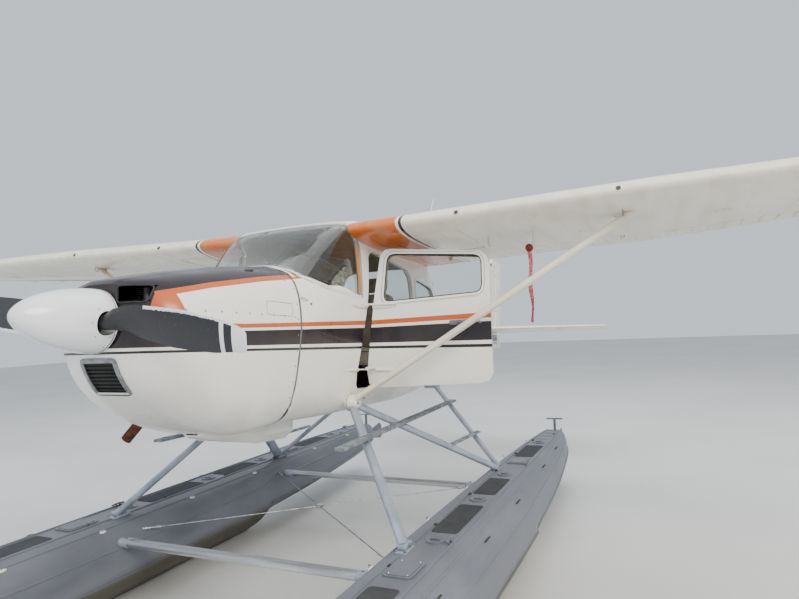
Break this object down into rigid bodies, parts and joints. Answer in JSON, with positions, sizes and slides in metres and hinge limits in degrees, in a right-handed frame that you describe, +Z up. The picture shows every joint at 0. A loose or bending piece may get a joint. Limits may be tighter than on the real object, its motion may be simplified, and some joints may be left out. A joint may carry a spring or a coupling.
{
  "type": "floatplane",
  "caption": "High-wing light aeroplane on twin step-bottomed floats, with strut-braced wings, a glazed four-seat cabin and its port door open.",
  "frame": {"origin": "centre of the bounding box at the floor under the float keels", "axes": "+X to port (the aeroplane's left), +Y aft, +Z up; the nose points along -Y"},
  "size_m": [10.92, 8.77, 2.8891],
  "materials": {
    "white_paint": "glossy warm white, faint grime",
    "cream_paint": "glossy cream white",
    "spinner_white": "glossy cool white",
    "blade_charcoal": "satin charcoal, white strip and tip",
    "filter_black": "slatted black air filter",
    "bare_engine": "dull cast",
    "rusty_pipe": "rusted, heat stained",
    "acrylic": "clear, lightly tinted",
    "dark_trim": "matte",
    "seat_cloth": "woven, worn",
    "float_paint": "blue-grey paint, chalky, stained below the waterline",
    "strut_paint": "light blue-grey",
    "bright_aluminium": "bare, brushed",
    "steel": "dull"
  },
  "bodies": {
    "airframe": {"air_filter": "filter_black", "back_window": "acrylic", "belly_floor": "white_paint", "boarding_step_left": "strut_paint", "boarding_step_right": "strut_paint", "brace_wires": "steel", "cowl_deck": "white_paint", "cowl_lower": "white_paint", "cowl_upper": "white_paint", "engine_block": "bare_engine", "exhaust_stack": "rusty_pipe", "fin": "white_paint", "firewall": "bare_engine", "float_left": "float_paint", "float_right": "float_paint", "float_struts_left": "strut_paint", "float_struts_right": "strut_paint", "front_side_left": "white_paint", "front_side_right": "white_paint", "instrument_panel": "dark_trim", "pitot_tube": "steel", "rear_bench": "seat_cloth", "rear_bulkhead": "dark_trim", "rear_side_left": "white_paint", "rear_side_right": "white_paint", "roof": "white_paint", "seat_left": "seat_cloth", "seat_right": "seat_cloth", "side_window_left": "acrylic", "side_window_right": "acrylic", "spreader_front": "bright_aluminium", "spreader_rear": "bright_aluminium", "stabilizer_left": "white_paint", "stabilizer_right": "white_paint", "tail_deck": "white_paint", "tailcone": "white_paint", "windshield": "acrylic", "wing_left": "cream_paint", "wing_right": "cream_paint", "wing_strut_left": "cream_paint", "wing_strut_right": "cream_paint", "yoke_left": "dark_trim", "yoke_right": "dark_trim"},
    "propeller": {"propeller": "blade_charcoal", "spinner": "spinner_white"},
    "door_left": {"door_left": "white_paint", "door_window_left": "acrylic"},
    "door_right": {"door_right": "white_paint", "door_window_right": "acrylic"},
    "rudder": {"rudder": "white_paint"},
    "elevator": {"elevator": "white_paint"},
    "flap_left": {"flap_left": "cream_paint"},
    "aileron_left": {"aileron_left": "cream_paint"},
    "water_rudder_post_left": {"water_rudder_post_left": "steel"},
    "water_rudder_left": {"water_rudder_left": "steel"},
    "flap_right": {"flap_right": "cream_paint"},
    "aileron_right": {"aileron_right": "cream_paint"},
    "water_rudder_post_right": {"water_rudder_post_right": "steel"},
    "water_rudder_right": {"water_rudder_right": "steel"}
  },
  "joints": [
    {"name": "propeller_spin", "type": "hinge", "parent": "airframe", "child": "propeller", "pos_m": [0, -3.61661, 2.03213], "axis": [0, -0.9969, 0.0785], "continuous": true},
    {"name": "door_left_swing", "type": "hinge", "parent": "airframe", "child": "door_left", "pos_m": [0.572, -1.68559, 1.88015], "axis": [0, 0.0785, 0.9969], "range_deg": [0, 82]},
    {"name": "door_right_swing", "type": "hinge", "parent": "airframe", "child": "door_right", "pos_m": [-0.572, -1.68559, 1.88015], "axis": [0, 0.0785, 0.9969], "range_deg": [0, 82]},
    {"name": "flap_left_turn", "type": "hinge", "parent": "airframe", "child": "flap_left", "pos_m": [0.604, -0.60525, 2.47924], "axis": [-0.9994, -0.0026, -0.0334], "range_deg": [0, 40]},
    {"name": "flap_right_turn", "type": "hinge", "parent": "airframe", "child": "flap_right", "pos_m": [-0.604, -0.60525, 2.47924], "axis": [-0.9994, 0.0026, 0.0334], "range_deg": [0, 40]},
    {"name": "aileron_left_turn", "type": "hinge", "parent": "airframe", "child": "aileron_left", "pos_m": [2.618, -0.53508, 2.60612], "axis": [-0.9963, 0.0678, -0.0522], "range_deg": [-18, 18]},
    {"name": "aileron_right_turn", "type": "hinge", "parent": "airframe", "child": "aileron_right", "pos_m": [-2.618, -0.53508, 2.60612], "axis": [-0.9963, -0.0678, 0.0522], "range_deg": [-18, 18]},
    {"name": "elevator_turn", "type": "hinge", "parent": "airframe", "child": "elevator", "pos_m": [0, 3.65032, 1.73305], "axis": [-1, 0, 0], "range_deg": [-28, 23]},
    {"name": "rudder_turn", "type": "hinge", "parent": "airframe", "child": "rudder", "pos_m": [0, 3.75931, 1.4737], "axis": [0, 0.2188, 0.9758], "range_deg": [-17, 17]},
    {"name": "water_rudder_left_steer", "type": "hinge", "parent": "airframe", "child": "water_rudder_post_left", "pos_m": [1.268, 1.72704, 0.44], "axis": [0, 0, 1], "range_deg": [-30, 30]},
    {"name": "water_rudder_left_lift", "type": "hinge", "parent": "water_rudder_post_left", "child": "water_rudder_left", "pos_m": [1.268, 1.79704, 0.44], "axis": [-1, 0, 0], "range_deg": [0, 80]},
    {"name": "water_rudder_right_steer", "type": "hinge", "parent": "airframe", "child": "water_rudder_post_right", "pos_m": [-1.268, 1.72704, 0.44], "axis": [0, 0, 1], "range_deg": [-30, 30]},
    {"name": "water_rudder_right_lift", "type": "hinge", "parent": "water_rudder_post_right", "child": "water_rudder_right", "pos_m": [-1.268, 1.79704, 0.44], "axis": [-1, 0, 0], "range_deg": [0, 80]}
  ],
  "couplings": [
    {"joint": "flap_right_turn", "follows": "flap_left_turn", "ratio": 1},
    {"joint": "aileron_right_turn", "follows": "aileron_left_turn", "ratio": -1},
    {"joint": "water_rudder_right_steer", "follows": "water_rudder_left_steer", "ratio": 1}
  ]
}
